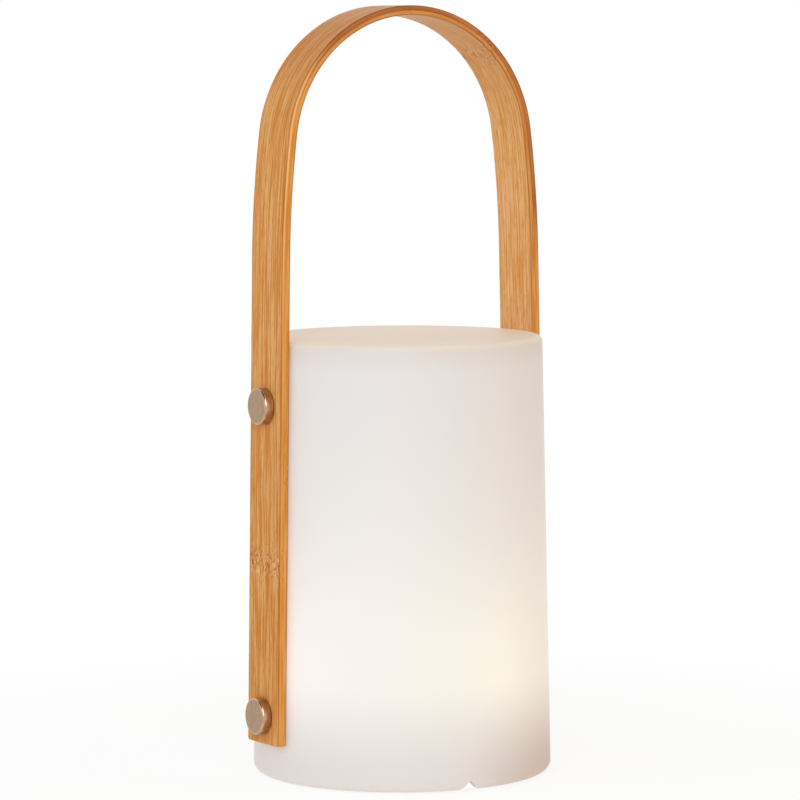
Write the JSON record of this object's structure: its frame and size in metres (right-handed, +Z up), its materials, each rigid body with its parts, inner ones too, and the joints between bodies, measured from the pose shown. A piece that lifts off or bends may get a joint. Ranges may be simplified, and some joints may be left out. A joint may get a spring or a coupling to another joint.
{
  "type": "lantern table lamp",
  "caption": "Rechargeable lantern table lamp: a tapered translucent cylinder lit from inside, carried by a tall bent bamboo strap handle held by nickel cap screws.",
  "frame": {"origin": "on the table, under the middle of the shade", "axes": "+Z up, the handle legs at -X and +X, the charging side and cable notch towards -Y, five degrees round"},
  "size_m": [0.176, 0.1558, 0.4],
  "materials": {
    "milky_plastic": "translucent milky white, satin, lit from inside",
    "bamboo": "laminated bamboo, clear satin lacquer",
    "nickel": "nickel, brushed face, polished bevel and side",
    "dark_rubber": "matt black rubber",
    "steel": "zinc plated steel",
    "white_plastic": "white moulded plastic, fine texture",
    "black_plastic": "black moulded plastic",
    "green_board": "green solder mask",
    "white_board": "white solder mask",
    "cell_wrap": "blue shrink wrap",
    "red_wire": "red insulated wire",
    "white_wire": "white insulated wire",
    "emitter": "yellow phosphor",
    "clear_lens": "clear polished plastic"
  },
  "bodies": {
    "lamp": {"shade": "milky_plastic", "handle": "bamboo", "cap_screws": "nickel", "cap_washers": "dark_rubber", "saddle_washers": "white_plastic", "inner_washers": "steel", "inner_nuts": "steel", "mounting_ring": "white_plastic", "base_tray": "white_plastic", "base_gasket": "dark_rubber", "base_screws": "steel", "rubber_feet": "dark_rubber", "tact_switch": "steel", "control_board": "green_board", "board_parts": "black_plastic", "board_screws": "steel", "charging_socket": "steel", "battery_holder": "black_plastic", "battery_cells": "cell_wrap", "battery_tabs": "steel", "battery_leads": "red_wire", "unit_cover": "white_plastic", "cover_screws": "steel", "led_board": "white_board", "led_board_screws": "steel", "led_emitters": "emitter", "led_lenses": "clear_lens", "led_leads": "white_wire"},
    "button": {"power_button": "white_plastic", "switch_plunger": "black_plastic"}
  },
  "joints": [
    {"name": "power_button_press", "type": "slide", "parent": "lamp", "child": "button", "axis": [0, 0, 1], "range_m": [0, 0.0005], "stiffness_N_per_m": 2000, "springref_m": -0.0003}
  ]
}
